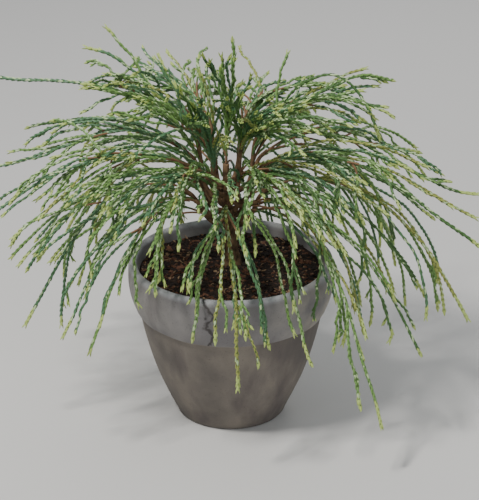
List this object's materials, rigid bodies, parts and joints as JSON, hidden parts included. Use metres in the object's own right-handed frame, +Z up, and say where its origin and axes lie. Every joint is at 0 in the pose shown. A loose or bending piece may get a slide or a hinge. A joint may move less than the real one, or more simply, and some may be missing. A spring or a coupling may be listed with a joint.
{
  "type": "potted whipcord western red cedar",
  "caption": "Low evergreen shrub of long, arching, cord-like shoots on a short trunk, spreading from and hanging over the rim of a round, collared clay pot.",
  "frame": {"origin": "centre of the pot's flat underside", "axes": "+Z up; -Y towards the viewer of the picture, +X to the viewer's right"},
  "size_m": [0.5187, 0.4187, 0.4152],
  "materials": {
    "clay": "matt fired clay, grey-brown with darker brushed streaks",
    "compost": "loose damp bark chips",
    "bark": "fibrous cinnamon-brown bark",
    "foliage": "satin scale leaves, mid green with yellow-green tips"
  },
  "bodies": {
    "root": {"pot": "clay", "soil": "compost", "trunk": "bark", "low_bough_1": "bark", "low_bough_2": "bark", "low_bough_3": "bark", "low_bough_4": "bark", "low_bough_5": "bark", "low_bough_6": "bark", "low_bough_7": "bark", "low_bough_8": "bark", "middle_bough_1": "bark", "middle_bough_2": "bark", "middle_bough_3": "bark", "middle_bough_4": "bark", "middle_bough_5": "bark", "middle_bough_6": "bark", "middle_bough_7": "bark", "middle_bough_8": "bark", "upper_bough_1": "bark", "upper_bough_2": "bark", "upper_bough_3": "bark", "upper_bough_4": "bark", "upper_bough_5": "bark", "upper_bough_6": "bark", "low_foliage_1": "foliage", "low_foliage_2": "foliage", "low_foliage_3": "foliage", "low_foliage_4": "foliage", "low_foliage_5": "foliage", "low_foliage_6": "foliage", "low_foliage_7": "foliage", "low_foliage_8": "foliage", "middle_foliage_1": "foliage", "middle_foliage_2": "foliage", "middle_foliage_3": "foliage", "middle_foliage_4": "foliage", "middle_foliage_5": "foliage", "middle_foliage_6": "foliage", "middle_foliage_7": "foliage", "middle_foliage_8": "foliage", "upper_foliage_1": "foliage", "upper_foliage_2": "foliage", "upper_foliage_3": "foliage", "upper_foliage_4": "foliage", "upper_foliage_5": "foliage", "upper_foliage_6": "foliage", "top_foliage_1": "foliage"}
  },
  "joints": []
}
